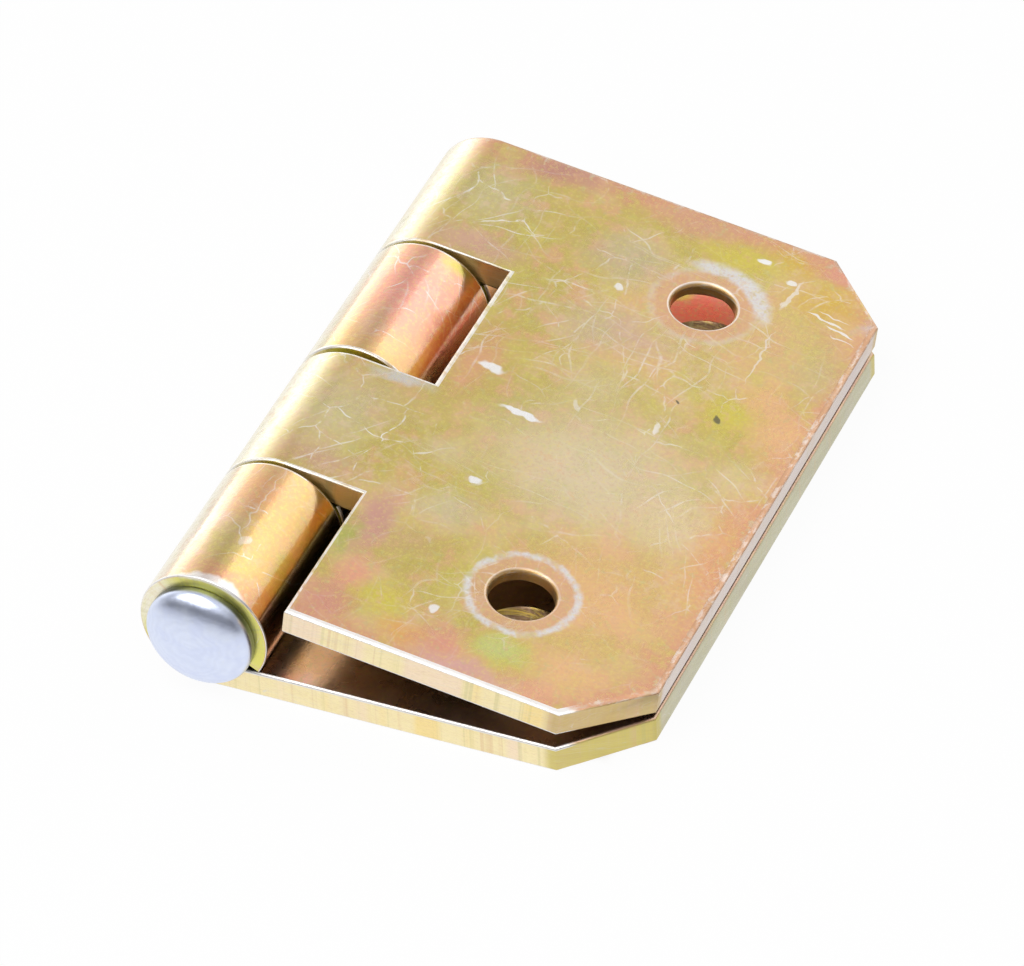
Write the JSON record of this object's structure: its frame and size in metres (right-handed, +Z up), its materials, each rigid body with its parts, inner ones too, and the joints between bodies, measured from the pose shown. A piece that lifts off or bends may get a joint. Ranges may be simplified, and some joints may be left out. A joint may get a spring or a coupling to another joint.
{
  "type": "box hinge",
  "caption": "Closed butt hinge for a box lid: two flat stamped steel leaves with screw holes, their rolled knuckles turning on a riveted pin.",
  "frame": {"origin": "midway between the lower leaf's two screw holes, on the face that is screwed down", "axes": "+Z up, out of the face that is screwed down and through the lower leaf; Y along the pin with its formed head at -Y; +X from the pin to the free edges"},
  "size_m": [0.0349, 0.0529, 0.0092],
  "materials": {
    "leaf_plating": "zinc plated steel, yellow chromate, scuffed",
    "pin_steel": "bare bright steel"
  },
  "bodies": {
    "fixed_leaf": {"lower_leaf": "leaf_plating", "hinge_pin": "pin_steel"},
    "swinging_leaf": {"upper_leaf": "leaf_plating"}
  },
  "joints": [
    {"name": "leaf_swing", "type": "hinge", "parent": "fixed_leaf", "child": "swinging_leaf", "pos_m": [-0.0186, 0, 0.00458], "axis": [0, -1, 0], "range_deg": [0, 288]}
  ]
}
